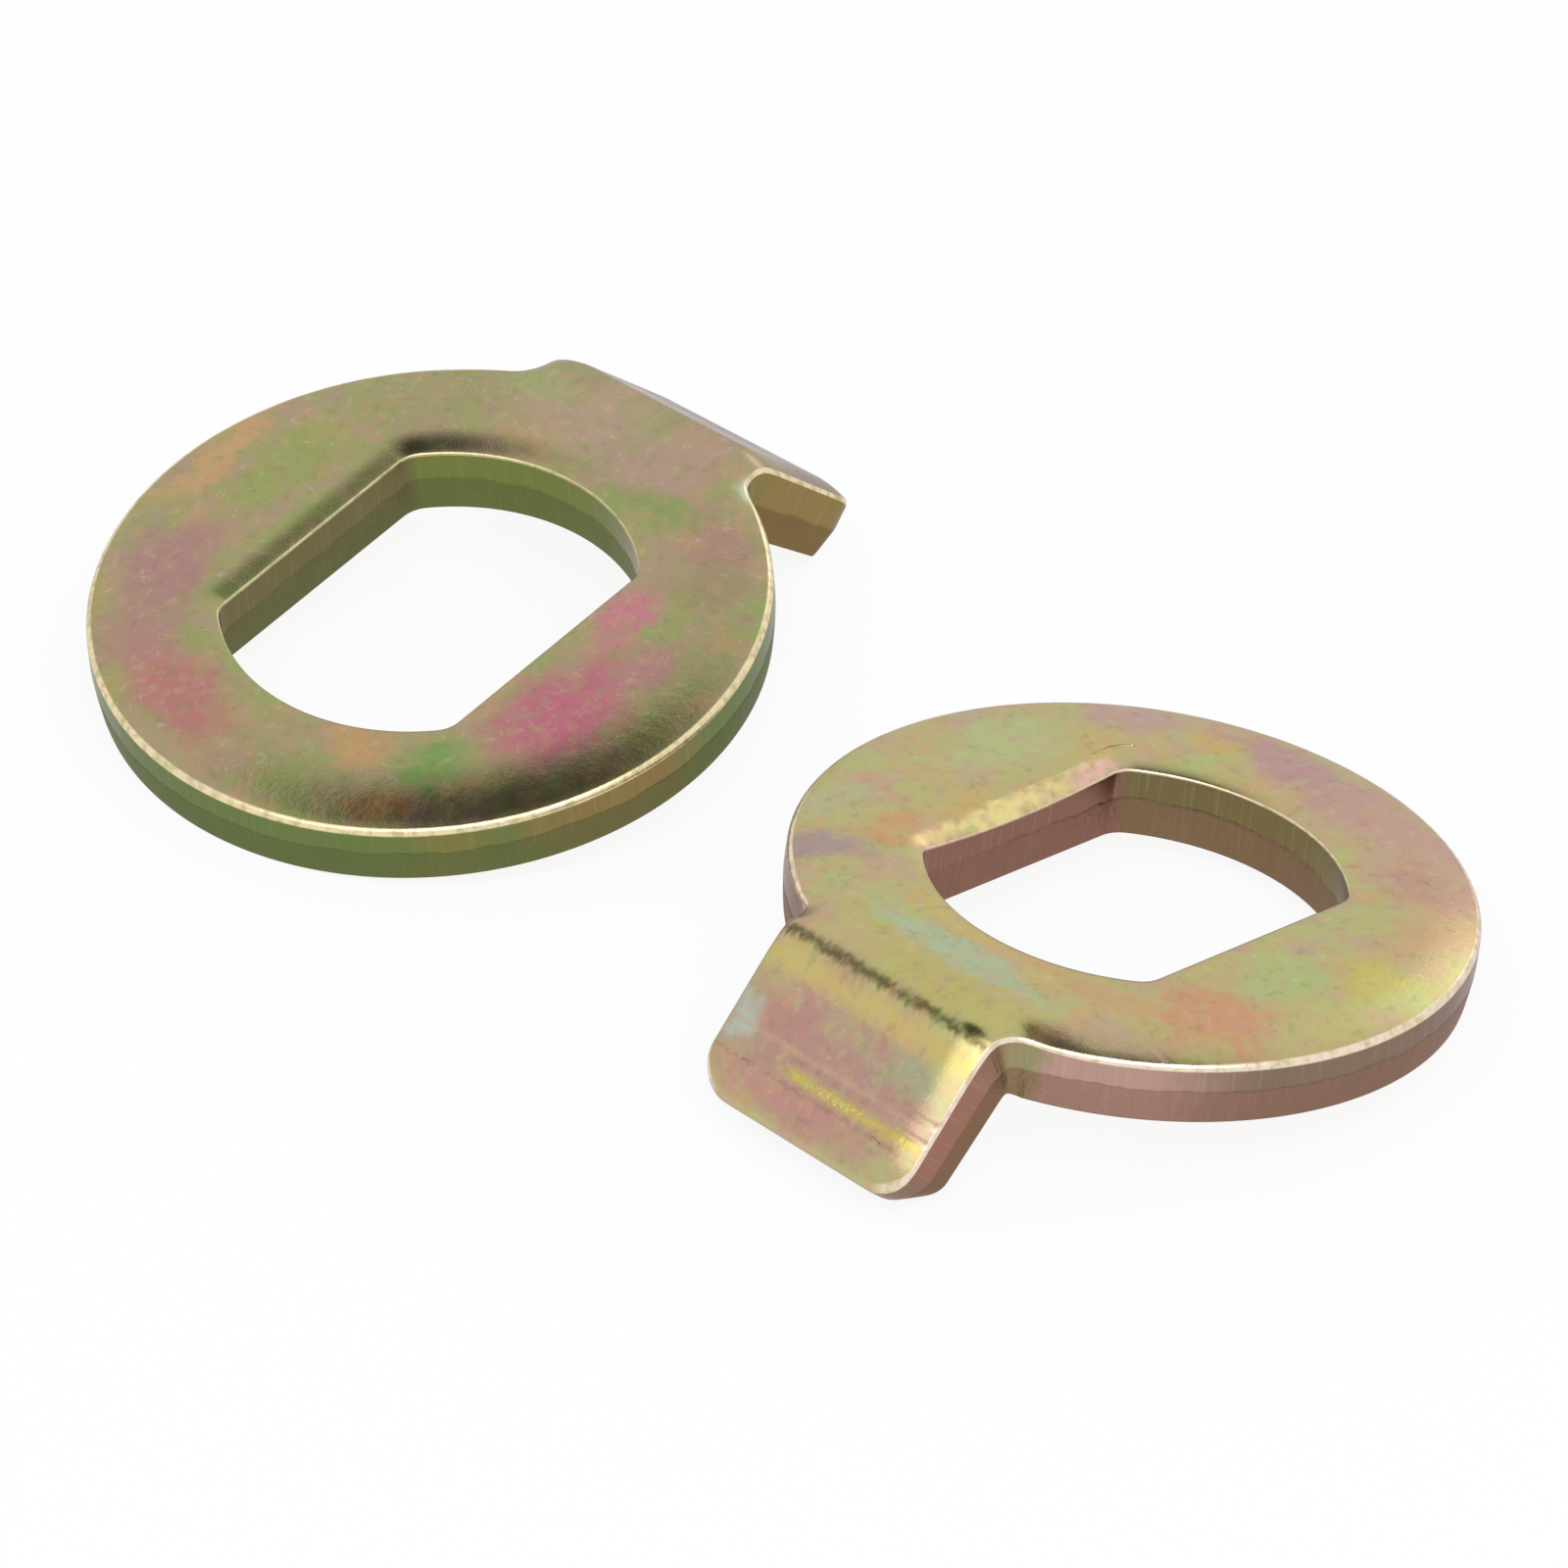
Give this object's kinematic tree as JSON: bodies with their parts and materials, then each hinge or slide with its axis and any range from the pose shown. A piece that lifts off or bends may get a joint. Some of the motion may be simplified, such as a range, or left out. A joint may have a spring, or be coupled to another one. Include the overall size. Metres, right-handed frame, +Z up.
{
  "type": "pair of torque washers",
  "caption": "Thick round washers with a double-D axle hole and one bent-down tab that stops an axle from turning, lying side by side.",
  "frame": {"origin": "on the surface the washers lie on, midway between the centres of the two discs", "axes": "+X to the right and +Y away from the viewer, both along the surface, and +Z up"},
  "size_m": [0.0472, 0.0454, 0.0061],
  "materials": {
    "left_plating": "olive-yellow chromated zinc plating on punched steel, satin with faint pink and green bloom",
    "right_plating": "pale yellow to pink chromated zinc plating on punched steel, satin with faint green bloom"
  },
  "bodies": {
    "root": {"left_washer": "left_plating", "right_washer": "right_plating"}
  },
  "joints": []
}
